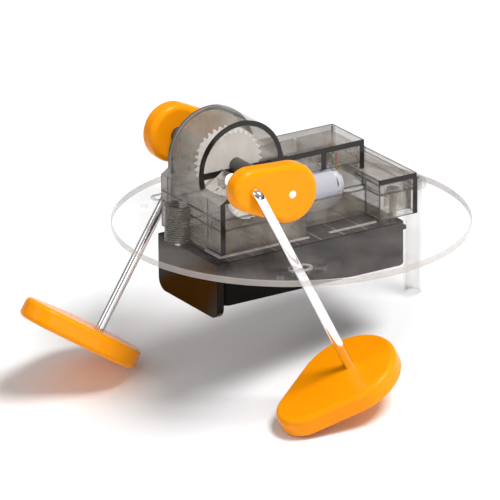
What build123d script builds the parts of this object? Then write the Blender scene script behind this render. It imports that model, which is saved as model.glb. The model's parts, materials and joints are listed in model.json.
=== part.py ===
from build123d import *
import os
from math import acos, atan2, cos, degrees, pi, radians, sin, sqrt, tan

# A two-legged walking robot kit: a geared motor in a smoke-clear housing stands on a clear
# round deck, turns a cross axle with a crank at each end, and each crank swings a bent leg
# rod that slides through a guide in the deck. A clear tube at the tail is the third support.
#
# Deck frame while modelling: X runs along the motor towards the tail, Y runs along the cross
# axle, Z is square to the deck and Z = 0 is the deck's top face. All lengths in millimetres.

# ---------------------------------------------------------------- clearances
running = 0.05          # radial play of a turning shaft
gap = 0.3               # air between parts that must not touch
wall = 1.8              # housing wall
mid_y = -3.0            # middle plane of the cranks and legs

# ---------------------------------------------------------------- deck
deck_r = 70.0
deck_t = 2.6
ring_h = 1.0            # raised collar round each leg guide
ring_w = 1.3
hole_pitch = 9.0        # accessory holes beside each guide
hole_r = 2.4
small_hole_r = 1.35
rib_w = 1.3             # raised locating ribs along the housing
rib_h = 0.8

# ---------------------------------------------------------------- tail
tail_x = 57.8
tail_y = 1.8
tail_r = 3.65
tail_wall = 0.9
tail_drop = 43.6        # below the deck's top face
tail_collar_r = 5.4
tail_collar_h = 3.0

# ---------------------------------------------------------------- housing
case_x0 = -47.0
tower_x1 = -8.2         # right end of the gear compartment
end_x0 = 25.3           # left side of the end box
case_x1 = 43.0
case_front = -23.5
tray_front = -14.0
case_back = 19.5
cover_front = -7.8
cover_back = 14.7
tray_h = 10.6
side_h = 21.0           # left wall up to the start of the slope
ridge_x = -35.6
ridge_h = 28.8
roof_h = 24.0
end_h = 16.5
arch_x = -27.8
arch_z = 27.9
arch_r = 18.9
motor_box_x1 = 28.7
motor_box_h = 28.3
cover_low = 19.5        # lower edge of the motor box's front wall
arch_blend = 4.5
partition_x = 9.1
post_x = -49.6
post_y = 3.0
post_r = 5.4
post_h = 14.0
post_bore_r = 3.7
post_floor = 8.0
boss_x = 35.5
boss_y = -17.6
boss_r = 3.6
boss_h = 8.0
screw_r = 1.4
screw_head_r = 2.7
screw_head_h = 1.9
screw_len = {"post": 10.2, "boss": 13.0}   # the boss screw also holds the module

# ---------------------------------------------------------------- motor
motor_y = -2.6
motor_z = 10.9
can_r = 8.7
can_x0 = -7.4
can_len = 22.4
label_t = 0.2
label_len = 19.0
cap_len = 4.2
motor_shaft_r = 1.0

# ---------------------------------------------------------------- gear train
axle_x = -30.3
axle_z = 29.8
axle_r = 1.5
spindle_r = 1.0
gear_m = 0.8            # tooth module of the spur gears
out_teeth = 32
small_teeth = 8
mid_teeth = 16
crown_teeth = 20
crown_pitch_r = 6.7
crown_tooth_len = 2.4
crown_spindle_x = -19.5
tooth_up = 0.62         # height above the pitch circle
tooth_down = 0.85       # depth below it
out_gear_y0, out_gear_w = -5.4, 6.0
mid_gear_y0, mid_gear_w = 3.8, 2.4

# ---------------------------------------------------------------- cranks
crank_r = 17.6          # axle to leg pin
crank_big_r = 11.8
crank_small_r = 8.5
crank_t = 8.0
crank_round = 2.4
crank_face = 45.0       # outer face, from the middle plane
crank_angle = 166.0     # near crank, up from +X
sleeve_r = 3.0

# ---------------------------------------------------------------- legs and feet
rod_r = 1.9
bend_r = 2.6
rod_drop = 87.8         # leg pin to the foot's top face
pin_out = 8.0           # pin beyond the crank's inner face
cap_r = 2.6
foot_t = 8.2
foot_big_r = 20.4
foot_toe_r = 12.0
foot_len = 20.9         # between the two end circles
foot_ahead = 2.0        # big end's centre, from the rod towards the toe
foot_round = 2.0
rod_in_foot = 5.5
foot_yaw = {"near": -3.0, "far": -2.0}
swing = 15.0            # crank travel each way, degrees

# ---------------------------------------------------------------- power module
module_x0 = -46.0
module_x1 = 37.5
module_front = -24.0
module_back = 19.0
module_low = -20.3
module_wall = 1.6
module_round = 3.0
end_plate_x0 = -49.2
end_plate_t = 2.9
end_plate_low = -25.2
end_plate_round = 5.0
cell_t = 1.2
cell_margin = 3.0
lead_r = 0.6
lead_y = 10.6           # where both leads pass through the tray floor and the deck
lead_hole_x = (22.6, 19.8)
terminal_reach = 6.6    # terminals above and below the motor's axis

# ---------------------------------------------------------------- helpers
pieces = []


def finish(part, label):
    """Name a finished piece and keep it for placing and writing at the end."""
    part.label = label
    pieces.append(part)


def upright(y):
    """Sketch plane at depth y: local x is X, local y is Z, and extruding goes towards -Y."""
    return Plane(origin=(0, y, 0), x_dir=(1, 0, 0), z_dir=(0, -1, 0))


def across(x):
    """Sketch plane at x: local x is Y, local y is Z, and extruding goes towards +X."""
    return Plane(origin=(x, 0, 0), x_dir=(0, 1, 0), z_dir=(1, 0, 0))


def inset(points, d):
    """Corners of an outline whose sides have all moved inwards by d (corners anticlockwise)."""
    moved = []
    count = len(points)
    for i in range(count):
        before, here, after = Vector(points[i - 1]), Vector(points[i]), Vector(points[(i + 1) % count])
        u, v = (here - before).normalized(), (after - here).normalized()
        cross = u.X * v.Y - u.Y * v.X
        moved.append((here.X + d * (v.X - u.X) / cross, here.Y + d * (v.Y - u.Y) / cross))
    return moved


def tooth_ring(teeth, module, phase=0.0):
    """Outline of a spur gear with straight tapering teeth; phase in tooth pitches."""
    pitch_r = teeth * module / 2
    corners = []
    for i in range(teeth):
        middle = 2 * pi * (i + phase) / teeth
        for share, r in ((-0.29, -tooth_down), (-0.11, tooth_up), (0.11, tooth_up), (0.29, -tooth_down)):
            a = middle + share * 2 * pi / teeth
            corners.append(((pitch_r + r) * cos(a), (pitch_r + r) * sin(a)))
    with BuildSketch() as ring:
        with BuildLine():
            Polyline(*corners, close=True)
        make_face()
    return ring.sketch


def leaf(r0, r1, length):
    """Plan of two round ends joined by straight sides; the big end is at the origin."""
    with BuildSketch() as plan:
        Circle(r0)
        with Locations((length, 0)):
            Circle(r1)
        make_hull()
    return plan.sketch


# ---------------------------------------------------------------- linkage
sides = {"near": -1, "far": 1}
phase = {"near": crank_angle, "far": crank_angle + 180}
rod_plane = {s: mid_y + d * (crank_face + gap + bend_r) for s, d in sides.items()}
pin = {s: (axle_x + crank_r * cos(radians(a)), axle_z + crank_r * sin(radians(a)))
       for s, a in phase.items()}
guide_x = axle_x + 0.7


def lean(side, turn):
    """Angle of a leg rod from vertical when its crank has turned, in degrees."""
    a = radians(phase[side] + turn)
    x, z = axle_x + crank_r * cos(a), axle_z + crank_r * sin(a)
    return degrees(atan2(guide_x - x, z))


# The rod's own turn per turn of its crank, as one constant ratio over the travel.
follow = {s: (lean(s, swing) - lean(s, -swing)) / (2 * swing) for s in sides}


def slot_reach(side):
    """Ends of the guide slot that the rod needs over the whole travel."""
    ends = []
    steps = 12
    for i in range(-steps, steps + 1):
        turn = swing * i / steps
        a = radians(phase[side] + turn)
        b = radians(lean(side, 0) + follow[side] * turn)
        x, z = axle_x + crank_r * cos(a), axle_z + crank_r * sin(a)
        for level in (ring_h, -deck_t):
            at = x + tan(b) * (z - level)
            ends += [at - rod_r / cos(b) - gap, at + rod_r / cos(b) + gap]
    return min(ends), max(ends)


slot_ends = {s: slot_reach(s) for s in sides}
slot_w = 2 * (rod_r + gap)

# ---------------------------------------------------------------- gear train layout
def meet(a, ra, b, rb):
    """The point to the right of a line from a to b that is ra from a and rb from b."""
    dx, dz = b[0] - a[0], b[1] - a[1]
    apart = sqrt(dx * dx + dz * dz)
    along = (ra * ra - rb * rb + apart * apart) / (2 * apart)
    off = sqrt(ra * ra - along * along)
    return (a[0] + (along * dx - off * dz) / apart, a[1] + (along * dz + off * dx) / apart)


def bearing(a, b):
    """Direction from a to b in the upright plane, in turns."""
    return atan2(b[1] - a[1], b[0] - a[0]) / (2 * pi)


out_pitch_r = out_teeth * gear_m / 2
small_pitch_r = small_teeth * gear_m / 2
mid_pitch_r = mid_teeth * gear_m / 2
axle_at = (axle_x, axle_z)
crown_at = (crown_spindle_x, motor_z)
compound_at = meet(axle_at, out_pitch_r + small_pitch_r, crown_at, mid_pitch_r + small_pitch_r)
# A tooth of one gear faces a gap of the other along the line between their centres.
mesh_out = bearing(axle_at, compound_at) * out_teeth
mesh_small = bearing(compound_at, axle_at) * small_teeth + 0.5
mesh_mid = bearing(compound_at, crown_at) * mid_teeth + 0.5
mesh_crown = bearing(crown_at, compound_at) * small_teeth - 0.5
crown_pitch = 2 * pi * crown_pitch_r / crown_teeth
crown_r = crown_pitch_r + crown_tooth_len / 2
pinion_teeth = 8
pinion_m = 2 * crown_pitch_r / crown_teeth
pinion_w = 4.2
pinion_x0 = crown_spindle_x + crown_pitch_r - pinion_w / 2
crown_tooth_h = 1.3
crown_t = 1.6
crown_y0 = motor_y + pinion_teeth * pinion_m / 2 + crown_tooth_h - 0.6
small_gear_y1 = crown_y0 - crown_tooth_h - gap
hub_r = 1.55
out_hub_r = 4.0
spindle_seat = 1.6

# ================================================================ deck
guide_slots = {s: ((slot_ends[s][0] + slot_ends[s][1]) / 2, slot_ends[s][1] - slot_ends[s][0])
               for s in sides}
plan_points = [(case_x0, case_front), (tower_x1, case_front), (tower_x1, tray_front),
               (end_x0, tray_front), (end_x0, case_front), (case_x1, case_front),
               (case_x1, cover_back), (tower_x1, cover_back), (tower_x1, case_back),
               (case_x0, case_back)]
rib_y = case_front - gap - rib_w / 2
rib_x = case_x0 - gap - rib_w / 2
rib_gap = 9.5

with BuildPart() as base_disc:
    with BuildSketch(Plane.XY.offset(-deck_t)):
        Circle(deck_r)
    extrude(amount=deck_t)
    fillet(base_disc.edges().group_by(SortBy.LENGTH)[-1], 0.4)
    for s, d in sides.items():
        middle, length = guide_slots[s]
        with BuildSketch(Plane.XY):
            with Locations((middle, rod_plane[s])):
                SlotOverall(length + 2 * ring_w, slot_w + 2 * ring_w)
        extrude(amount=ring_h)
        with BuildSketch(Plane.XY.offset(-deck_t)):
            with Locations((middle, rod_plane[s])):
                SlotOverall(length, slot_w)
            with Locations((middle + hole_pitch, rod_plane[s])):
                Circle(hole_r)
            with Locations((middle - hole_pitch, rod_plane[s])):
                Circle(small_hole_r)
        extrude(amount=deck_t + ring_h, mode=Mode.SUBTRACT)
    with BuildSketch(Plane.XY):
        with Locations(((rib_x + tower_x1) / 2, rib_y)):
            SlotOverall(tower_x1 - rib_x + rib_w, rib_w)
        with Locations((rib_x, rib_y + 5)):
            SlotOverall(10 + rib_w, rib_w, rotation=90)
        with Locations(((tower_x1 + rib_gap + end_x0 - 2) / 2, rib_y)):
            SlotOverall(end_x0 - 2 - tower_x1 - rib_gap, rib_w)
    extrude(amount=rib_h)
    with BuildSketch(Plane.XY):
        with Locations((tail_x, tail_y)):
            Circle(tail_collar_r)
    extrude(amount=tail_collar_h)
    with BuildSketch(Plane.XY.offset(-deck_t)):
        with Locations((tail_x, tail_y)):
            Circle(tail_r)
    extrude(amount=deck_t + tail_collar_h, mode=Mode.SUBTRACT)
    with BuildSketch(Plane.XY.offset(-deck_t)):
        with Locations((post_x, post_y), (boss_x, boss_y)):
            Circle(screw_r + 0.2)
        with Locations(*((x, lead_y) for x in lead_hole_x)):
            Circle(lead_r + gap)
    extrude(amount=deck_t, mode=Mode.SUBTRACT)
finish(base_disc.part, "base_disc")

# ================================================================ tail tube
with BuildPart() as tail_tube:
    with BuildSketch(Plane.XY.offset(-tail_drop)):
        with Locations((tail_x, tail_y)):
            Circle(tail_r)
            Circle(tail_r - tail_wall, mode=Mode.SUBTRACT)
    extrude(amount=tail_drop + tail_collar_h + 1.0)
finish(tail_tube.part, "tail_tube")

# ================================================================ housing
tower_points = [(case_x0, 0), (tower_x1, 0), (tower_x1, roof_h), (ridge_x, roof_h),
                (ridge_x, ridge_h), (case_x0, side_h)]


def cover_section(inset):
    """Side view of the cover: the gear arch blending into the motor box."""
    low = tray_h - 2 if inset else 0
    with BuildSketch() as section:
        with BuildLine():
            r = arch_r - inset
            box_top = motor_box_h - inset
            blend = arch_blend + inset
            reach = sqrt((r + blend) ** 2 - (box_top + blend - arch_z) ** 2)
            corner = (arch_x + reach, box_top + blend)
            share = r / (r + blend)
            touch = (arch_x + reach * share, arch_z + (box_top + blend - arch_z) * share)
            left = (arch_x - r, arch_z)
            crown = RadiusArc(left, (arch_x, arch_z + r), r)
            shoulder = RadiusArc(crown @ 1, touch, r)
            fill = RadiusArc(touch, (corner[0], box_top), -blend)
            Polyline(fill @ 1, (motor_box_x1 - inset, box_top), (motor_box_x1 - inset, low),
                     (arch_x - r, low), left)
        make_face()
    return section.sketch


with BuildPart() as gear_case:
    with BuildSketch(Plane.XY):
        Polygon(*plan_points, align=None)
    extrude(amount=tray_h)
    with BuildSketch(upright(case_back)):
        Polygon(*tower_points, align=None)
    extrude(amount=case_back - case_front)
    with BuildSketch(Plane.XY):
        with Locations(((end_x0 + case_x1) / 2, (case_front + cover_back) / 2)):
            Rectangle(case_x1 - end_x0, cover_back - case_front)
    extrude(amount=end_h - wall)
    # the post beside the left wall that takes the long case screw
    with BuildSketch(Plane.XY):
        with Locations((post_x, post_y)):
            Circle(post_r)
    extrude(amount=post_h)
    # hollow the tray, the gear compartment and the end box
    with BuildSketch(Plane.XY.offset(wall)):
        Polygon(*inset(plan_points, wall), align=None)
    extrude(amount=tray_h, mode=Mode.SUBTRACT)
    with BuildSketch(upright(case_back - wall)):
        Polygon(*inset(tower_points, wall), align=None)
    extrude(amount=case_back - case_front - 2 * wall, mode=Mode.SUBTRACT)
    with BuildSketch(Plane.XY.offset(wall)):
        with Locations(((end_x0 + case_x1) / 2, (case_front + cover_back) / 2)):
            Rectangle(case_x1 - end_x0 - 2 * wall, cover_back - case_front - 2 * wall)
    extrude(amount=end_h, mode=Mode.SUBTRACT)
    with BuildSketch(upright(cover_back - wall)):
        add(cover_section(wall))
    extrude(amount=cover_back - cover_front - 2 * wall, mode=Mode.SUBTRACT)
    # screw boss in the end box
    with BuildSketch(Plane.XY):
        with Locations((boss_x, boss_y)):
            Circle(boss_r)
    extrude(amount=boss_h)
    with BuildSketch(Plane.XY.offset(post_floor)):
        with Locations((post_x, post_y)):
            Circle(post_bore_r)
    extrude(amount=post_h, mode=Mode.SUBTRACT)
    with BuildSketch(Plane.XY):
        with Locations((post_x, post_y), (boss_x, boss_y)):
            Circle(screw_r + 0.1)
        with Locations(*((x, lead_y) for x in lead_hole_x)):
            Circle(lead_r + gap)
    extrude(amount=post_h, mode=Mode.SUBTRACT)
    # seats for the two fixed gear spindles in the front and back walls
    for x, z in (compound_at, crown_at):
        for y0, y1 in ((case_front + wall, case_front + wall + spindle_seat),
                       (case_back - wall - spindle_seat, case_back - wall)):
            with BuildSketch(upright(y1)):
                with Locations((x, z)):
                    Circle(spindle_r + 1.2)
            extrude(amount=y1 - y0)
            with BuildSketch(upright(y1)):
                with Locations((x, z)):
                    Circle(spindle_r)
            extrude(amount=y1 - y0, mode=Mode.SUBTRACT)
finish(gear_case.part, "gear_case")

with BuildPart() as gear_cover:
    with BuildSketch(upright(cover_back)):
        add(cover_section(0))
    extrude(amount=cover_back - cover_front)
    with BuildSketch(upright(cover_back - wall)):
        add(cover_section(wall))
    extrude(amount=cover_back - cover_front - 2 * wall, mode=Mode.SUBTRACT)
    # partition above the motor
    with BuildSketch(across(partition_x)):
        with Locations(((cover_front + cover_back) / 2, (motor_z + can_r + 1 + motor_box_h) / 2)):
            Rectangle(cover_back - cover_front, motor_box_h - motor_z - can_r - 1)
    extrude(amount=wall)
    # the cover stands on the roof of the gear compartment and on the tray and end box
    with BuildSketch(upright(case_back)):
        Polygon(*tower_points, align=None)
    extrude(amount=case_back - case_front, mode=Mode.SUBTRACT)
    with BuildSketch(across(tower_x1)):
        with Locations(((cover_front + cover_back - wall) / 2, cover_low / 2)):
            Rectangle(cover_back - cover_front - wall, cover_low)
    extrude(amount=end_x0 - tower_x1, mode=Mode.SUBTRACT)
    with BuildSketch(Plane.XY):
        with Locations(((tower_x1 + case_x1) / 2, cover_back)):
            Rectangle(case_x1 - tower_x1, 4 * wall)
    extrude(amount=tray_h, mode=Mode.SUBTRACT)
    with BuildSketch(Plane.XY):
        with Locations(((end_x0 + case_x1) / 2, 0)):
            Rectangle(case_x1 - end_x0, 2 * deck_r)
    extrude(amount=end_h, mode=Mode.SUBTRACT)
    with BuildSketch(upright(cover_back)):
        with Locations((axle_x, axle_z)):
            Circle(axle_r + running)
    extrude(amount=cover_back - cover_front, mode=Mode.SUBTRACT)
finish(gear_cover.part, "gear_cover")

with BuildPart() as end_lid:
    with BuildSketch(Plane.XY.offset(end_h - wall)):
        with Locations(((end_x0 + case_x1) / 2, (case_front + cover_back) / 2)):
            Rectangle(case_x1 - end_x0, cover_back - case_front)
    extrude(amount=wall)
    fillet(end_lid.edges().filter_by(Axis.Z), 0.6)
finish(end_lid.part, "end_lid")

with BuildPart() as case_screws:
    for x, y, seat, length in ((post_x, post_y, post_floor, screw_len["post"]),
                               (boss_x, boss_y, boss_h, screw_len["boss"])):
        with BuildSketch(Plane.XY.offset(seat - length)):
            with Locations((x, y)):
                Circle(screw_r)
        extrude(amount=length)
        with BuildSketch(Plane.XY.offset(seat)):
            with Locations((x, y)):
                Circle(screw_head_r)
        extrude(amount=screw_head_h)
        with BuildSketch(Plane.XY.offset(seat + screw_head_h)):
            with Locations((x, y)):
                Rectangle(3.6, 0.7)
                Rectangle(0.7, 3.6)
        extrude(amount=-1.0, mode=Mode.SUBTRACT)
finish(case_screws.part, "case_screws")

# ================================================================ motor
with BuildPart() as motor_can:
    with BuildSketch(across(can_x0)):
        with Locations((motor_y, motor_z)):
            Circle(can_r)
    extrude(amount=can_len)
    fillet(motor_can.edges().group_by(Axis.X)[0], 0.8)
    with BuildSketch(across(can_x0)):
        with Locations((motor_y, motor_z)):
            Circle(motor_shaft_r + running)
    extrude(amount=can_len, mode=Mode.SUBTRACT)
finish(motor_can.part, "motor_can")

with BuildPart() as motor_label:
    with BuildSketch(across(can_x0 + can_len - label_len)):
        with Locations((motor_y, motor_z)):
            Circle(can_r + label_t)
            Circle(can_r, mode=Mode.SUBTRACT)
    extrude(amount=label_len - 0.8)
finish(motor_label.part, "motor_label")

with BuildPart() as motor_end_cap:
    with BuildSketch(across(can_x0 + can_len)):
        with Locations((motor_y, motor_z)):
            Circle(can_r - 0.7)
    extrude(amount=1.6)
    with BuildSketch(across(can_x0 + can_len + 1.6)):
        with Locations((motor_y, motor_z)):
            Circle(can_r - 3.2)
    extrude(amount=cap_len - 1.6)
finish(motor_end_cap.part, "motor_end_cap")

with BuildPart() as motor_terminals:
    for side in (-1, 1):
        with BuildSketch(across(can_x0 + can_len + 1.6)):
            with Locations((motor_y, motor_z + side * terminal_reach)):
                Rectangle(0.5, 2.2)
        extrude(amount=4.4)
finish(motor_terminals.part, "motor_terminals")

with BuildPart() as motor_shaft:
    with BuildSketch(across(pinion_x0 - 0.6)):
        with Locations((motor_y, motor_z)):
            Circle(motor_shaft_r)
    extrude(amount=can_x0 + can_len - 2 - pinion_x0)
finish(motor_shaft.part, "motor_shaft")

with BuildPart() as motor_pinion:
    with BuildSketch(across(pinion_x0)):
        with Locations((motor_y, motor_z)):
            add(tooth_ring(pinion_teeth, pinion_m, 0.5))
            Circle(motor_shaft_r, mode=Mode.SUBTRACT)
    extrude(amount=pinion_w)
finish(motor_pinion.part, "motor_pinion")

# ================================================================ gear train
with BuildPart() as crown_gear:
    with BuildSketch(upright(crown_y0 + crown_t)):
        with Locations(crown_at):
            Circle(crown_r)
    extrude(amount=crown_t)
    with BuildSketch(upright(crown_y0)):
        with Locations(crown_at):
            with PolarLocations(crown_pitch_r, crown_teeth):
                Rectangle(crown_tooth_len, 0.42 * crown_pitch)
    extrude(amount=crown_tooth_h, taper=12)
    with BuildSketch(upright(mid_gear_y0 + mid_gear_w + 0.3)):
        with Locations(crown_at):
            add(tooth_ring(small_teeth, gear_m, 0.5 + mesh_crown))
    extrude(amount=mid_gear_y0 + mid_gear_w + 0.3 - crown_y0 - crown_t)
    with BuildSketch(upright(case_back)):
        with Locations(crown_at):
            Circle(spindle_r + running)
    extrude(amount=case_back - case_front, mode=Mode.SUBTRACT)
finish(crown_gear.part, "crown_gear")

with BuildPart() as compound_gear:
    with BuildSketch(upright(mid_gear_y0 + mid_gear_w)):
        with Locations(compound_at):
            add(tooth_ring(mid_teeth, gear_m, mesh_mid))
    extrude(amount=mid_gear_w)
    with BuildSketch(upright(mid_gear_y0)):
        with Locations(compound_at):
            Circle(hub_r)
    extrude(amount=mid_gear_y0 - small_gear_y1)
    with BuildSketch(upright(small_gear_y1)):
        with Locations(compound_at):
            add(tooth_ring(small_teeth, gear_m, mesh_small))
    extrude(amount=small_gear_y1 - out_gear_y0)
    with BuildSketch(upright(case_back)):
        with Locations(compound_at):
            Circle(spindle_r + running)
    extrude(amount=case_back - case_front, mode=Mode.SUBTRACT)
finish(compound_gear.part, "compound_gear")

for name, (x, z) in (("compound_spindle", compound_at), ("crown_spindle", crown_at)):
    with BuildPart() as spindle:
        with BuildSketch(upright(case_back - wall)):
            with Locations((x, z)):
                Circle(spindle_r)
        extrude(amount=case_back - case_front - 2 * wall)
    finish(spindle.part, name)

with BuildPart() as output_gear:
    with BuildSketch(upright(out_gear_y0 + out_gear_w)):
        with Locations((axle_x, axle_z)):
            add(tooth_ring(out_teeth, gear_m, mesh_out))
    extrude(amount=out_gear_w)
    with BuildSketch(upright(out_gear_y0 + out_gear_w)):
        with Locations((axle_x, axle_z)):
            Circle(out_pitch_r - 2.4)
            Circle(out_hub_r + 1.0, mode=Mode.SUBTRACT)
    extrude(amount=1.3, mode=Mode.SUBTRACT)
    with BuildSketch(upright(cover_back - wall - gap)):
        with Locations((axle_x, axle_z)):
            Circle(out_hub_r)
    extrude(amount=cover_back - wall - gap - out_gear_y0)
    with BuildSketch(upright(case_back)):
        with Locations((axle_x, axle_z)):
            Circle(axle_r)
    extrude(amount=case_back - case_front, mode=Mode.SUBTRACT)
finish(output_gear.part, "output_gear")

with BuildPart() as output_axle:
    with BuildSketch(upright(mid_y + crank_face)):
        with Locations((axle_x, axle_z)):
            Circle(axle_r)
    extrude(amount=2 * crank_face)
finish(output_axle.part, "output_axle")

crank_inner = crank_face - crank_t
for side, y0, y1 in (("near", mid_y - crank_inner, cover_front - gap),
                     ("far", cover_back + gap, mid_y + crank_inner)):
    with BuildPart() as sleeve:
        with BuildSketch(upright(y1)):
            with Locations((axle_x, axle_z)):
                Circle(sleeve_r)
                Circle(axle_r, mode=Mode.SUBTRACT)
        extrude(amount=y1 - y0)
    finish(sleeve.part, "axle_sleeve_" + side)

# ================================================================ cranks, leg rods and feet
for side, d in sides.items():
    x, z = pin[side]
    back = mid_y + d * crank_inner if d < 0 else mid_y + d * crank_face
    with BuildPart() as crank:
        with BuildSketch(upright(back)):
            with Locations(Location((axle_x, axle_z), phase[side])):
                add(leaf(crank_big_r, crank_small_r, crank_r))
        extrude(amount=crank_t)
        fillet(crank.faces().filter_by(Axis.Y).edges(), crank_round)
        with BuildSketch(upright(back)):
            with Locations((axle_x, axle_z)):
                Circle(axle_r)
            with Locations((x, z)):
                Circle(rod_r + running)
        extrude(amount=crank_t, mode=Mode.SUBTRACT)
    finish(crank.part, "crank_" + side)

    # The rod runs along its pin, bends a right angle outside the crank and goes down to the foot.
    b = radians(lean(side, 0))
    down = Vector(sin(b), 0, -cos(b))
    inner = Vector(x, mid_y + d * (crank_inner - pin_out), z)
    elbow = Vector(x, rod_plane[side], z)
    end = elbow + down * (rod_drop + rod_in_foot)
    with BuildPart() as rod:
        with BuildLine() as centre:
            FilletPolyline(inner, elbow, end, radius=bend_r)
        with BuildSketch(Plane(origin=inner, z_dir=(0, d, 0))):
            Circle(rod_r)
        sweep()
        fillet(rod.faces().filter_by(Axis.Y).edges(), 0.4)
    finish(rod.part, "leg_rod_" + side)

    tip = Plane(origin=inner - Vector(0, d * 1.2, 0), x_dir=(1, 0, 0), z_dir=(0, d, 0))
    cap_len = pin_out + 1.2 - 2 * gap
    with BuildPart() as rod_cap:
        with BuildSketch(tip):
            Circle(cap_r)
        extrude(amount=cap_len)
        fillet(rod_cap.faces().sort_by(Axis.Y)[0 if d > 0 else -1].edges(), 0.8)
        with BuildSketch(tip.offset(1.2)):
            Circle(rod_r)
        extrude(amount=cap_len, mode=Mode.SUBTRACT)
    finish(rod_cap.part, "rod_cap_" + side)

    # The foot's top face is square to the rod; its toe points away from the tail.
    top = elbow + down * rod_drop
    foot_plane = Plane(origin=top, x_dir=(-cos(b), 0, -sin(b)), z_dir=(-sin(b), 0, cos(b)))
    with BuildPart() as foot:
        with BuildSketch(foot_plane):
            with Locations(Location((0, 0), foot_yaw[side])):
                add(Pos(foot_ahead, 0) * leaf(foot_big_r, foot_toe_r, foot_len))
        extrude(amount=-foot_t)
        fillet(foot.edges(), foot_round)
        with BuildSketch(foot_plane):
            Circle(rod_r)
        extrude(amount=-rod_in_foot, mode=Mode.SUBTRACT)
    finish(foot.part, "foot_" + side)

# ================================================================ power module under the deck
module_top = -deck_t
module_mid = ((module_x0 + module_x1) / 2, (module_front + module_back) / 2)
module_size = (module_x1 - module_x0, module_back - module_front)

with BuildPart() as module_casing:
    with BuildSketch(Plane.XY.offset(module_top)):
        with Locations(module_mid):
            RectangleRounded(*module_size, module_round)
    extrude(amount=module_low + module_wall - module_top)
    with BuildSketch(Plane.XY.offset(module_top)):
        with Locations(module_mid):
            Rectangle(module_size[0] - 2 * module_wall, module_size[1] - 2 * module_wall)
    extrude(amount=module_low + module_wall - module_top, mode=Mode.SUBTRACT)
    # ledge that carries the solar cell
    with BuildSketch(Plane.XY.offset(module_top - cell_t)):
        with Locations(module_mid):
            Rectangle(*module_size)
            Rectangle(module_size[0] - 2 * cell_margin - 2 * module_wall,
                      module_size[1] - 2 * cell_margin - 2 * module_wall, mode=Mode.SUBTRACT)
    extrude(amount=-module_wall)
    with BuildSketch(Plane.XY.offset(module_low)):
        with Locations((boss_x, boss_y)):
            Circle(screw_r + 0.2)
    extrude(amount=-module_low, mode=Mode.SUBTRACT)
finish(module_casing.part, "module_casing")

with BuildPart() as module_lid:
    with BuildSketch(Plane.XY.offset(module_low)):
        with Locations(module_mid):
            RectangleRounded(*module_size, module_round)
    extrude(amount=module_wall)
    fillet(module_lid.edges().group_by(Axis.Z)[0], 1.0)
finish(module_lid.part, "module_lid")

with BuildPart() as module_end_plate:
    with BuildSketch(across(end_plate_x0)):
        with BuildLine():
            low, r = end_plate_low, end_plate_round
            Line((module_front, module_top), (module_front, low + r))
            JernArc((module_front, low + r), (0, -1), r, 90)
            Line((module_front + r, low), (module_back - r, low))
            JernArc((module_back - r, low), (1, 0), r, 90)
            Polyline((module_back, low + r), (module_back, module_top), (module_front, module_top))
        make_face()
    extrude(amount=end_plate_t)
    fillet(module_end_plate.faces().sort_by(Axis.X)[0].edges().filter_by(Axis.Z, reverse=True), 0.5)
finish(module_end_plate.part, "module_end_plate")

with BuildPart() as solar_cell:
    with BuildSketch(Plane.XY.offset(module_top - cell_t)):
        with Locations(module_mid):
            Rectangle(module_size[0] - 2 * (module_wall + gap), module_size[1] - 2 * (module_wall + gap))
    extrude(amount=cell_t - gap)
    with BuildSketch(Plane.XY.offset(module_top - cell_t)):
        with Locations((boss_x, boss_y)):
            Circle(screw_r + gap)
    extrude(amount=cell_t, mode=Mode.SUBTRACT)
finish(solar_cell.part, "solar_cell")



def bend_radii(points):
    """Largest arc radius at each corner that its two runs leave room for."""
    radii = []
    for i in range(1, len(points) - 1):
        before, here, after = (Vector(p) for p in points[i - 1:i + 2])
        turn = (here - before).get_angle(after - here)
        radii.append(0.45 * min((here - before).length, (after - here).length) / tan(radians(turn / 2)))
    return radii


# Two leads from the motor's terminals, up over the end cap and down to the solar cell.
lead_low = module_top - gap
top_y, low_y = motor_y + 0.25 + lead_r, motor_y + 0.25 + lead_r
lead_x = can_x0 + can_len + 5.0
routes = {
    "lead_red": [(lead_x, top_y, motor_z + terminal_reach), (lead_x + 0.5, -1.0, 23.2), (22.4, 4.4, 25.0),
                 (23.7, 9.4, 21.6), (23.1, 11.0, 12.4), (22.7, 10.8, 4.6), (22.6, lead_y, lead_low)],
    "lead_black": [(lead_x, low_y, motor_z - terminal_reach), (lead_x + 1.7, 1.3, 9.4), (22.4, 3.4, 16.4),
                   (21.6, 6.4, 20.6), (20.2, 9.8, 17.6), (19.9, 11.0, 11.2), (19.9, 10.8, 4.4),
                   (19.8, lead_y, lead_low)],
}
for name, points in routes.items():
    radii = bend_radii(points)
    print(name, "bend radii", [round(r, 1) for r in radii])
    with BuildPart() as lead:
        with BuildLine() as centre:
            FilletPolyline(*points, radius=radii)
        with BuildSketch(Plane(origin=points[0], z_dir=Vector(points[1]) - Vector(points[0]))):
            Circle(lead_r)
        sweep()
    run = sum(edge.length for edge in centre.edges())
    print("  volume over section times length", round(lead.part.volume / (pi * lead_r ** 2 * run), 4))
    finish(lead.part, name)

# ================================================================ stance
def low_point(side, down_way):
    """Lowest point of a foot: the rounded edge of whichever end circle reaches furthest."""
    b = radians(lean(side, 0))
    axis = Vector(sin(b), 0, -cos(b))
    toe_way = Vector(-cos(b), 0, -sin(b))
    side_way = axis.cross(toe_way) * -1
    yaw = radians(foot_yaw[side])
    along = toe_way * cos(yaw) + side_way * sin(yaw)
    top = Vector(pin[side][0], rod_plane[side], pin[side][1]) + axis * rod_drop
    flat = down_way - axis * down_way.dot(axis)
    flat = flat.normalized()
    best = None
    for reach, r in ((foot_ahead, foot_big_r), (foot_ahead + foot_len, foot_toe_r)):
        centre = top + along * reach
        p = centre + flat * (r - foot_round) + axis * (foot_t - foot_round) + down_way * foot_round
        if best is None or p.dot(down_way) > best.dot(down_way):
            best = p
    return best


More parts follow.
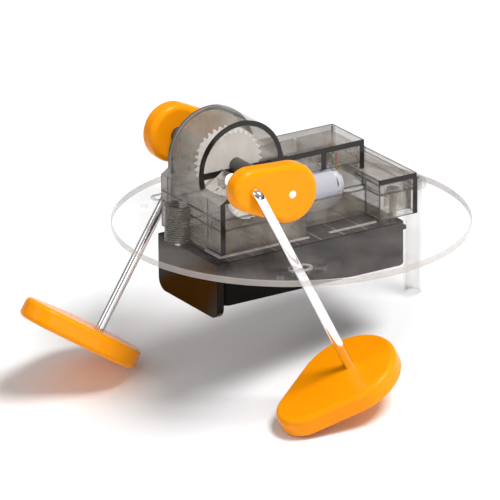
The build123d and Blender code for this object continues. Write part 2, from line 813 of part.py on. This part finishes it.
down_way = Vector(0, 0, -1)
for _ in range(30):
    flat = Vector(down_way.X, down_way.Y, 0)
    flat = flat.normalized() if flat.length > 1e-9 else Vector(1, 0, 0)
    tail_point = Vector(tail_x, tail_y, -tail_drop) + flat * tail_r
    near_point, far_point = low_point("near", down_way), low_point("far", down_way)
    down_way = (tail_point - near_point).cross(far_point - near_point).normalized() * -1
# Turn the robot so that this plane is the floor, with X still along its length.
floor_plane = Plane(origin=(0, 0, 0), x_dir=Vector(1, 0, 0) - down_way * down_way.X, z_dir=down_way * -1)
turned = floor_plane.location.inverse()
box = Compound(children=[turned * p for p in pieces]).bounding_box()
stance = Pos(-(box.min.X + box.max.X) / 2, -(box.min.Y + box.max.Y) / 2, -box.min.Z) * turned
print("size", box.size, "lean", degrees(acos(-down_way.Z)))

os.makedirs("parts", exist_ok=True)
for piece in pieces:
    placed = stance * piece
    placed.label = piece.label
    export_step(placed, "parts/" + piece.label + ".step")
print(len(pieces), "pieces")
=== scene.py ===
# %% [markdown]
# # A solar walking robot, finished in Blender
# The CAD model gives every part its shape, size and place. This lesson takes those parts as they are,
# gives each one a procedural finish, and lights the robot on a pale floor. It adds no new shapes.
# Blender works in metres, and the finishes are written in millimetres in the deck's own axes.

import json
from math import cos, radians, sin

import bpy
import numpy as np
from mathutils import Matrix, Vector

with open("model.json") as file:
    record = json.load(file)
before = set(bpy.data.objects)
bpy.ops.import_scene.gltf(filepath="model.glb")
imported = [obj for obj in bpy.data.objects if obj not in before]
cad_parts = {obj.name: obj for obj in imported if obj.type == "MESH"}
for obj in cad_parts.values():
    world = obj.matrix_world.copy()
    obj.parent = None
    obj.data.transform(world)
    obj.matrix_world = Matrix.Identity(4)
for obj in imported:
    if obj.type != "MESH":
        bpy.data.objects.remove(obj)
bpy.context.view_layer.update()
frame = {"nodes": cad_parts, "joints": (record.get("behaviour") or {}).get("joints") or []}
nodes = frame["nodes"]
MM = 0.001

# %% [markdown]
# ## The deck's own axes
# The real robot leans back on its tail, so its clear deck is not level. Every feature of it is square
# to that deck all the same. Working in the deck's axes keeps each number simple: X runs along the
# motor, Y along the cross axle, Z out of the deck. Two joints already point along X and Y, so the
# axes are read from them, and the axle's known place above the deck gives the origin.

# %% Deck axes from the joints
joints = {joint["name"]: joint for joint in frame["joints"]}
deck_y = Vector(joints["axle_turn"]["axis"]).normalized()
deck_x = Vector(joints["rotor_turn"]["axis"]).normalized()
deck_z = deck_x.cross(deck_y)
AXLE = Vector((-30.3, -3.0, 29.8))
deck_turn = Matrix((deck_x, deck_y, deck_z)).transposed()
deck_origin = Vector(joints["axle_turn"]["pos_m"]) - deck_turn @ (AXLE * MM)
print("deck origin", [round(c, 5) for c in deck_origin])


def from_deck(points):
    """Millimetres in the deck's axes to metres in the model's: turn, scale and move as one array sum."""
    turn = np.array(deck_turn)
    return np.asarray(points, float) * MM @ turn.T + np.array(deck_origin)


# %% [markdown]
# ## Camera
# A product picture is taken with a long lens, which keeps the deck's ellipse and both feet free of
# perspective swelling. The camera is set by a turn round the deck, a height above it, a small roll and
# the distance, all in the deck's axes, so that the deck looks level although the robot leans.

# %% Camera
TURN, RISE, ROLL = radians(-32.413), radians(20.547), radians(-0.446)
DISTANCE, LENS, SHIFT_X, SHIFT_Y = 2324.0, 432.0, -16.02, -12.95

toward = np.array([sin(TURN) * cos(RISE), -cos(TURN) * cos(RISE), sin(RISE)])
level = np.array([cos(TURN), sin(TURN), 0.0])
upward = np.cross(toward, level)
right = level * cos(ROLL) + upward * sin(ROLL)
top = upward * cos(ROLL) - level * sin(ROLL)
target = right * SHIFT_X + top * SHIFT_Y

camera_data = bpy.data.cameras.new("camera")
camera_data.lens = LENS
camera_data.sensor_width = 36.0
camera_data.clip_end = 50.0
camera = bpy.data.objects.new("camera", camera_data)
bpy.context.scene.collection.objects.link(camera)
place = Matrix.Identity(4)
for column, axis in enumerate((right, top, toward)):
    for row in range(3):
        place[row][column] = (deck_turn @ Vector(axis))[row]
place.translation = Vector(from_deck(target + toward * DISTANCE))
camera.matrix_world = place
bpy.context.scene.camera = camera
print("camera at", [round(c, 3) for c in place.translation])

# %% [markdown]
# ## Floor and light
# The floor is a plain sheet that is nearly white. One large soft panel overhead gives the main light
# and the soft shadow under the feet, and two weak ones fill in from the left and the front. The sky
# is darker near the horizon, so shiny parts have something darker than the floor to reflect.

# %% Floor
floor_size = 6.0
floor_mesh = bpy.data.meshes.new("floor")
corners = np.array([[-1, -1, 0], [1, -1, 0], [1, 1, 0], [-1, 1, 0]], float) * floor_size / 2
floor_mesh.from_pydata(corners.tolist(), [], [(0, 1, 2, 3)])
floor = bpy.data.objects.new("floor", floor_mesh)
bpy.context.scene.collection.objects.link(floor)
print("floor", floor_size, "m square")


# %% [markdown]
# ## Writing shader maths as sums
# A material node graph is easier to read as a formula. The small class below holds one socket, and
# adding or multiplying two of them adds the Math node for it. Its reflected forms let a plain number
# come first. One method adds every other kind of node that a material needs.

# %% The socket class
class Value:
    """One output socket; the operators on it add Math nodes."""

    def __init__(self, paint, socket):
        self.paint = paint
        self.socket = socket

    def maths(self, operation, *others, clamp=False):
        node = self.paint.node("ShaderNodeMath", {"operation": operation, "use_clamp": clamp},
                               dict(enumerate((self,) + others)))
        return Value(self.paint, node.outputs[0])

    def __add__(self, other):
        return self.maths("ADD", other)

    def __mul__(self, other):
        return self.maths("MULTIPLY", other)

    def __sub__(self, other):
        return self.maths("SUBTRACT", other)

    def __rsub__(self, other):
        flipped = self.paint.node("ShaderNodeMath", {"operation": "SUBTRACT"}, {0: other, 1: self})
        return Value(self.paint, flipped.outputs[0])

    __radd__ = __add__
    __rmul__ = __mul__

    def size(self):
        return self.maths("ABSOLUTE")

    def clamped(self):
        return self.maths("ADD", 0.0, clamp=True)

    def band(self, centre, width, soft):
        """1 within width of the centre, falling to 0 over soft more: the clamped distance turned round."""
        return ((width + soft - (self - centre).size()) * (1.0 / soft)).clamped()


class Paint:
    """A material with one Principled shader, and a method that adds a node."""

    def __init__(self, name, **settings):
        self.material = bpy.data.materials.new(name)
        self.material.use_nodes = True
        self.tree = self.material.node_tree
        self.shader = next(n for n in self.tree.nodes if n.type == "BSDF_PRINCIPLED")
        for socket, value in settings.items():
            self.set(socket.replace("_", " ").title().replace("Ior", "IOR"), value)

    def set(self, socket, value):
        """A number goes on the shader's own socket, a Value is linked to it."""
        target_socket = self.shader.inputs[socket]
        if isinstance(value, Value):
            self.tree.links.new(value.socket, target_socket)
        elif isinstance(value, tuple) and len(value) == 3:
            target_socket.default_value = (*value, 1.0)
        else:
            target_socket.default_value = value

    def node(self, kind, settings=None, inputs=None):
        """Adds a node of this kind: settings first, then the values or links of its sockets."""
        new = self.tree.nodes.new(kind)
        for key, value in (settings or {}).items():
            setattr(new, key, value)
        for key, value in (inputs or {}).items():
            if isinstance(value, Value):
                self.tree.links.new(value.socket, new.inputs[key])
            else:
                new.inputs[key].default_value = value
        return new

    def output(self, node, index=0):
        return Value(self, node.outputs[index])

    def place(self):
        """Object coordinates turned into the deck's axes, in millimetres, as X, Y and Z values."""
        source = self.output(self.node("ShaderNodeTexCoord"), "Object")
        turned = self.node("ShaderNodeMapping", {"vector_type": "TEXTURE"},
                           {"Vector": source, "Location": deck_origin, "Rotation": deck_turn.to_euler(),
                            "Scale": (MM, MM, MM)})
        self.where = self.output(turned)
        split = self.node("ShaderNodeSeparateXYZ", None, {0: self.where})
        return self.output(split, 0), self.output(split, 1), self.output(split, 2)

    def noise(self, vector, scale, detail=3.0, rough=0.5):
        """Fractal noise from 0 to 1 at a scale in cycles for each unit of the vector."""
        sockets = {"Vector": vector, "Scale": scale, "Detail": detail, "Roughness": rough}
        return self.output(self.node("ShaderNodeTexNoise", None, sockets))

    def blend(self, amount, first, second):
        """Colour mix: first where the amount is 0, second where it is 1."""
        mixed = self.node("ShaderNodeMix", {"data_type": "RGBA"},
                          {"Factor": amount, 6: self.rgba(first), 7: self.rgba(second)})
        return self.output(mixed, 2)

    def rgba(self, colour):
        return colour if isinstance(colour, Value) else (*colour, 1.0)

    def bump(self, height, strength, distance):
        bumped = self.node("ShaderNodeBump", None,
                           {"Height": height, "Strength": strength, "Distance": distance * MM})
        self.set("Normal", self.output(bumped))

    def edge(self, power=0.5):
        """0 where the surface faces the eye and 1 where it is seen edge-on."""
        return self.output(self.node("ShaderNodeLayerWeight", None, {"Blend": power}), "Facing")


def length_2d(a, b):
    """Distance from zero of two values: the root of the sum of their squares."""
    return (a * a + b * b).maths("SQRT")


# %% Floor finish
floor_paint = Paint("pale_floor", roughness=0.62, specular_ior_level=0.25)
floor_paint.place()
grain = floor_paint.noise(floor_paint.where, 0.02)
floor_paint.set("Base Color", floor_paint.blend(grain, (0.93, 0.93, 0.935), (0.95, 0.95, 0.95)))
floor_mesh.materials.append(floor_paint.material)
print("floor finish", floor_paint.material.name)

# %% [markdown]
# ## Sky
# The world is a ramp on height alone: pale below, dark just above the horizon and white overhead.
# A ramp costs nothing to render and gives the same sky from every side.

# %% Sky
world = bpy.data.worlds.new("studio")
bpy.context.scene.world = world
world.use_nodes = True
background = world.node_tree.nodes["Background"]
SKY_STRENGTH = 0.44
SKY_STOPS = [
    (0.0, (0.95, 0.95, 0.95, 1.0)),
    (0.47, (0.75, 0.75, 0.75, 1.0)),
    (0.50, (0.10, 0.10, 0.105, 1.0)),
    (0.60, (0.16, 0.16, 0.165, 1.0)),
    (0.72, (0.85, 0.85, 0.86, 1.0)),
    (1.0, (1.0, 1.0, 1.0, 1.0)),
]
sky = world.node_tree.nodes.new("ShaderNodeTexCoord")
height = world.node_tree.nodes.new("ShaderNodeSeparateXYZ")
scale = world.node_tree.nodes.new("ShaderNodeMapRange")
scale.inputs["From Min"].default_value = -1.0
ramp = world.node_tree.nodes.new("ShaderNodeValToRGB")
ramp.color_ramp.elements[0].position, ramp.color_ramp.elements[0].color = SKY_STOPS[0]
ramp.color_ramp.elements[1].position, ramp.color_ramp.elements[1].color = SKY_STOPS[-1]
for position, colour in SKY_STOPS[1:-1]:
    ramp.color_ramp.elements.new(position).color = colour
world.node_tree.links.new(sky.outputs["Generated"], height.inputs[0])
world.node_tree.links.new(height.outputs["Z"], scale.inputs["Value"])
world.node_tree.links.new(scale.outputs["Result"], ramp.inputs["Fac"])
world.node_tree.links.new(ramp.outputs["Color"], background.inputs["Color"])
background.inputs["Strength"].default_value = SKY_STRENGTH
print("sky stops", len(SKY_STOPS))

# %% [markdown]
# ## Soft panels
# Each panel is a rectangle of light that faces the robot's middle. The larger it is, the softer the
# edge of the shadow.

# %% Soft panels
def panel(name, position, aim, size, power):
    """A soft panel light that faces the aim point."""
    data = bpy.data.lights.new(name, "AREA")
    data.shape = "RECTANGLE"
    data.size, data.size_y = size
    data.energy = power
    lamp = bpy.data.objects.new(name, data)
    lamp.location = position
    lamp.rotation_euler = (Vector(aim) - Vector(position)).to_track_quat("-Z", "Y").to_euler()
    bpy.context.scene.collection.objects.link(lamp)
    print("panel", name, power, "W")


centre = Vector((0.0, 0.0, 0.05))
panel("overhead", (0.80, -0.90, 2.15), centre, (0.85, 0.85), 62.0)
panel("left", (-0.95, 0.15, 0.6), centre, (0.35, 0.6), 1.4)
panel("front", (-0.45, -1.15, 0.4), centre, (0.5, 0.3), 1.8)
bpy.context.scene.view_settings.view_transform = "Standard"

# %% [markdown]
# ## Clear acrylic
# The deck and the tail tube are clear acrylic. A sheet of it is nearly invisible face-on, catches the
# light at a low angle, and glows pale grey along its cut rim, where the light inside comes out. Real
# refraction would need many samples to settle, so the sheet is a see-through surface whose opacity
# grows towards grazing angles and at the rim, which is told from the faces by its distance from the
# deck's centre.

# %% Clear acrylic
acrylic = Paint("clear_acrylic", roughness=0.03, ior=1.49, specular_ior_level=0.8)
x, y, z = acrylic.place()
RIM_R = 69.5
RAISED_Z = 0.3
rim = ((length_2d(x, y) - RIM_R) * 3.0).clamped()
raised = ((z - RAISED_Z) * 4.0).clamped() * (1.0 - rim)
haze = ((acrylic.noise(acrylic.where, 0.06, 4.0) - 0.36) * 3.0).clamped()
sheen = acrylic.edge(0.5)
acrylic.set("Base Color", acrylic.blend(rim, (0.50, 0.47, 0.45), (0.52, 0.47, 0.43)))
acrylic.set("Alpha", (sheen * 0.06 + 0.025 + haze * 0.085 + rim * 0.52 + raised * 0.42).clamped())
print("clear acrylic rim from", RIM_R, "mm")

# %% [markdown]
# ## Smoke polycarbonate
# The housing is moulded in see-through grey. Its walls are 1.8 mm thick, and wherever two walls meet
# the eye looks along a wall instead of through it, so every edge of the housing is a dark line. Real
# refracting walls would show that too, but need a slow render. Here the planes that shape the housing
# give the lines, as a pattern fixed to the part. The numbers repeat the CAD model's own, so they have
# to change with it.

# %% The housing's planes, in millimetres in the deck's axes
WALL = 1.8
LINE_HALF = WALL * 0.62
CASE_X0, TOWER_X1, END_X0, CASE_X1 = -47.0, -8.2, 25.3, 43.0
CASE_FRONT, TRAY_FRONT, COVER_FRONT, COVER_BACK = -23.5, -14.0, -7.8, 14.7
FLOOR_Z, TRAY_Z, LID_Z, COVER_LOW, ROOF_Z, BOX_Z = 0.0, 10.6, 16.5, 19.5, 24.0, 28.3
LOW_SIDE_Z = 14.7
BOX_X1 = 28.7
PARTITION_X = 10.0
ARCH_X, ARCH_Z, ARCH_R, ARCH_FOOT_Z = -27.8, 27.9, 18.9, 22.0
SIDE_Z, RIDGE_X, RIDGE_Z = 21.0, -35.6, 28.8
POST_X = -47.2
BEHIND_Y = 12.0
print("housing", CASE_X1 - CASE_X0, "mm long")


# %% Lines on the housing
def near(value, planes):
    """1 on any of these planes: the sum of a narrow band round each."""
    total = value.band(planes[0], 0.35, 0.3)
    for plane in planes[1:]:
        total = total + value.band(plane, 0.35, 0.3)
    return total.clamped()


def on_face(value, plane):
    """1 on one flat face only, so a line does not wrap round to the next wall."""
    return value.band(plane, 0.2, 0.15)


def arch_lines(x, y, z):
    """The arch's rim: a ring half a wall inside its radius, black in front and weaker at the back."""
    ring = length_2d(x - ARCH_X, z - ARCH_Z).band(ARCH_R - WALL / 2, LINE_HALF, 0.2)
    rims = on_face(y, COVER_FRONT) + y.band(COVER_BACK, 1.0, 0.4) * 0.75
    return ring * rims * ((z - ARCH_FOOT_Z) * 2.0).clamped()


def slope_line(x, y, z):
    """The tower's slanted edge: the distance from a line is a turned mix of X and Z."""
    run, rise = RIDGE_X - CASE_X0, RIDGE_Z - SIDE_Z
    length = (run * run + rise * rise) ** 0.5
    above = (z - SIDE_Z) * (run / length) - (x - CASE_X0) * (rise / length)
    slope = above.band(-WALL / 2, LINE_HALF, 0.25) * ((z - SIDE_Z) * 4.0).clamped()
    return slope * on_face(y, CASE_FRONT)


def foot_line(x, y, z):
    """The line along the foot of the left wall, up to the tray's front."""
    up_to_tray = 1.0 - ((y + 13.0) * 2.0).clamped()
    return on_face(x, CASE_X0) * z.band(0.7, 0.75, 0.2) * up_to_tray


# %% Smoke polycarbonate
def smoke(name, edge_x, edge_y, edge_z, thick, extras=()):
    """Smoke-grey plastic. A thin dark line lies where two of the housing's planes meet, and a thick
    black one lies on a front plane wherever a wall behind it is seen end-on: each thick entry is the
    front plane, whether it is placed along X or Z, and the middle of that wall."""
    paint = Paint(name, roughness=0.07, ior=1.58, specular_ior_level=0.28)
    x, y, z = paint.place()
    thin = (near(x, edge_x) + near(y, edge_y) + near(z, edge_z) - 1.0).clamped()
    lines = [on_face(y, front) * (x if axis == "x" else z).band(middle, LINE_HALF, 0.25)
             for front, axis, middle in thick]
    lines += [extra(x, y, z) for extra in extras]
    heavy = lines[0]
    for line in lines[1:]:
        heavy = heavy + line
    heavy = heavy.clamped()

    behind = ((y - BEHIND_Y) * 0.8).clamped()
    post = ((POST_X - x) * 5.0).clamped()
    slant = paint.output(paint.node("ShaderNodeMapping", None, {
        "Vector": paint.where, "Rotation": (0.5, radians(-38.0), 0.3), "Scale": (0.16, 0.05, 0.035)}))
    cloud = ((paint.noise(slant, 1.0, 2.0) - 0.34) * 3.0).clamped()
    ribbed = (z * 1.1).maths("FRACT").band(0.5, 0.14, 0.25)
    # The screw post's tone: fine rings, plus light and dark streaks that are painted sheen, standing in
    # for the reflections of a dark metal post.
    post_rings_and_painted_sheen = (ribbed * 0.25 + cloud * 0.30 + 0.40).clamped()
    pale = paint.blend(cloud, (0.20, 0.175, 0.14), (0.42, 0.385, 0.335))
    tint = paint.blend(behind, pale, (0.40, 0.38, 0.35))
    post_tint = paint.blend(post_rings_and_painted_sheen, (0.30, 0.27, 0.235), (0.012, 0.011, 0.010))
    tint = paint.blend(post, tint, post_tint)
    paint.set("Base Color", paint.blend((thin * 0.8 + heavy).clamped(), tint, (0.014, 0.012, 0.011)))
    see_through = paint.edge(0.5) * 0.18 + cloud * 0.14 + 0.17
    solid = behind * 0.34 + post * 0.50 + thin * 0.45 + heavy
    paint.set("Alpha", (see_through + solid).clamped())
    print(name, len(lines), "thick lines")
    return paint


# %% The three smoke mouldings
cover_smoke = smoke("smoke_cover", (BOX_X1,), (COVER_FRONT, COVER_BACK), (BOX_Z, COVER_LOW),
                    [(COVER_FRONT, "z", BOX_Z - WALL / 2), (COVER_FRONT, "x", BOX_X1 - WALL / 2),
                     (COVER_FRONT, "x", PARTITION_X)], [arch_lines])
case_smoke = smoke("smoke_case", (CASE_X0, TOWER_X1, END_X0, CASE_X1),
                   (CASE_FRONT, TRAY_FRONT, COVER_BACK, COVER_LOW),
                   (FLOOR_Z, TRAY_Z, LOW_SIDE_Z, ROOF_Z),
                   [(CASE_FRONT, "x", CASE_X0 + WALL / 2), (CASE_FRONT, "x", CASE_X1 - WALL / 2)],
                   [slope_line, foot_line])
lid_smoke = smoke("smoke_lid", (END_X0, CASE_X1), (CASE_FRONT, COVER_BACK), (LID_Z,),
                  [(CASE_FRONT, "z", LID_Z - WALL / 2)])

# %% [markdown]
# ## Orange plastic
# The cranks and feet are glossy orange ABS. The pigment is never quite even, so the colour drifts
# slowly between orange and a yellower orange, and the surface has the faint ripple of a moulding.
# The brighter edges come from the lights on the rounded shape, not from the paint.

# %% Orange plastic
orange = Paint("orange_abs", ior=1.45, specular_ior_level=0.16)
orange.place()
tone = orange.noise(orange.where, 0.03)
orange.set("Base Color", orange.blend(tone, (0.94, 0.26, 0.001), (0.98, 0.36, 0.002)))
orange.set("Roughness", orange.noise(orange.where, 0.4) * 0.08 + 0.22)
orange.bump(orange.noise(orange.where, 0.25), 0.04, 0.2)
print("orange finish", orange.material.name)

# %% [markdown]
# ## Metals
# The leg rods and the cross axle are bright chrome, with faint marks in their gloss. The motor's can
# and shaft, the spindles and the screws are a duller steel, and the terminals and pinion are brass.
# A metal shows little but what it reflects, so its bright and dark parts are left to the sky, the
# floor and the panels.

# %% Metals
def metal(name, colour, rough, marks):
    """A metal whose roughness and tone vary a little with fine marks: noise over the part."""
    paint = Paint(name, metallic=1.0)
    paint.place()
    worn = paint.noise(paint.where, marks, 4.0)
    paint.set("Base Color", paint.blend(worn, colour, tuple(c * 0.93 for c in colour)))
    paint.set("Roughness", worn * 0.10 + rough)
    print("metal", name)
    return paint


chrome = metal("bright_chrome", (0.90, 0.90, 0.91), 0.03, 0.9)
steel = metal("satin_steel", (0.60, 0.60, 0.61), 0.25, 1.6)
brass = metal("brass", (0.75, 0.55, 0.24), 0.22, 1.2)

# %% [markdown]
# ## Small plastics
# White nylon gears are slightly see-through, and light comes out of their teeth from inside. A small
# emission stands in for that, and for the light that the smoke housing takes away from them and from
# the motor's pale label. It is a stand-in: in a dark scene they would glow a little. The sleeves are
# dark smoke plastic, and the solar module is black ABS with a brown-black end plate.

# %% Small plastics
def plastic(name, first, second, rough, scale=0.15, ripple=0.03, **settings):
    """A moulded plastic: two close tones in soft noise, and a faint ripple in its gloss."""
    paint = Paint(name, **settings)
    paint.place()
    tone = paint.noise(paint.where, scale)
    paint.set("Base Color", paint.blend(tone, first, second))
    paint.set("Roughness", tone * 0.10 + rough)
    paint.bump(paint.noise(paint.where, scale * 3), ripple, 0.2)
    print("plastic", name)
    return paint


nylon = plastic("white_nylon", (0.90, 0.88, 0.85), (0.82, 0.80, 0.77), 0.40,
                emission_color=(0.95, 0.92, 0.88), emission_strength=0.42)
label = plastic("motor_label", (0.40, 0.40, 0.44), (0.36, 0.36, 0.40), 0.30, specular_ior_level=0.2,
                emission_color=(0.88, 0.88, 1.0), emission_strength=0.08)
grey = plastic("grey_acetal", (0.52, 0.52, 0.53), (0.45, 0.45, 0.46), 0.35)
black = plastic("black_abs", (0.004, 0.004, 0.004), (0.008, 0.008, 0.008), 0.30, specular_ior_level=0.03)
plate = plastic("brown_black_plate", (0.005, 0.003, 0.001), (0.012, 0.006, 0.002), 0.10,
                specular_ior_level=0.08)
sleeve = plastic("smoke_sleeve", (0.085, 0.075, 0.062), (0.045, 0.040, 0.034), 0.15)
red = plastic("red_insulation", (0.55, 0.03, 0.02), (0.42, 0.02, 0.015), 0.35)
green = plastic("green_insulation", (0.02, 0.16, 0.05), (0.015, 0.11, 0.035), 0.35)

# %% [markdown]
# ## Solar cell
# An amorphous cell is a brown-black glass plate with fine lighter scribe lines between its strips.

# %% Solar cell
cell = Paint("solar_cell", roughness=0.12, coat_weight=0.5, coat_roughness=0.05)
x, y, z = cell.place()
STRIP_PITCH = 10.4
strip = (x * (1.0 / STRIP_PITCH)).maths("FRACT").band(0.5, 0.44, 0.02)
cell.set("Base Color", cell.blend(strip, (0.16, 0.13, 0.10), (0.020, 0.012, 0.010)))
print("solar cell strips every", STRIP_PITCH, "mm")

# %% [markdown]
# ## Giving every part its finish
# Each CAD part keeps its mesh, and only its material slot changes.

# %% Finishes on the parts
finish_of = {
    acrylic: ("base_disc", "tail_tube"),
    cover_smoke: ("gear_cover",),
    case_smoke: ("gear_case",),
    lid_smoke: ("end_lid",),
    orange: ("crank_near", "crank_far", "foot_near", "foot_far"),
    chrome: ("leg_rod_near", "leg_rod_far", "output_axle"),
    steel: ("case_screws", "motor_can", "motor_shaft", "compound_spindle", "crown_spindle"),
    brass: ("motor_terminals", "motor_pinion"),
    # The rod caps take the nylon finish too, with its small painted glow.
    nylon: ("output_gear", "compound_gear", "crown_gear", "rod_cap_near", "rod_cap_far"),
    label: ("motor_label",),
    grey: ("motor_end_cap",),
    black: ("module_casing", "module_lid"),
    sleeve: ("axle_sleeve_near", "axle_sleeve_far"),
    plate: ("module_end_plate",),
    cell: ("solar_cell",),
    red: ("lead_red",),
    green: ("lead_black",),
}
for paint, names in finish_of.items():
    for name in names:
        slots = nodes[name].material_slots
        if not slots:
            nodes[name].data.materials.append(paint.material)
        for slot in slots:
            slot.material = paint.material
print("finished", sum(len(names) for names in finish_of.values()), "of", len(nodes))
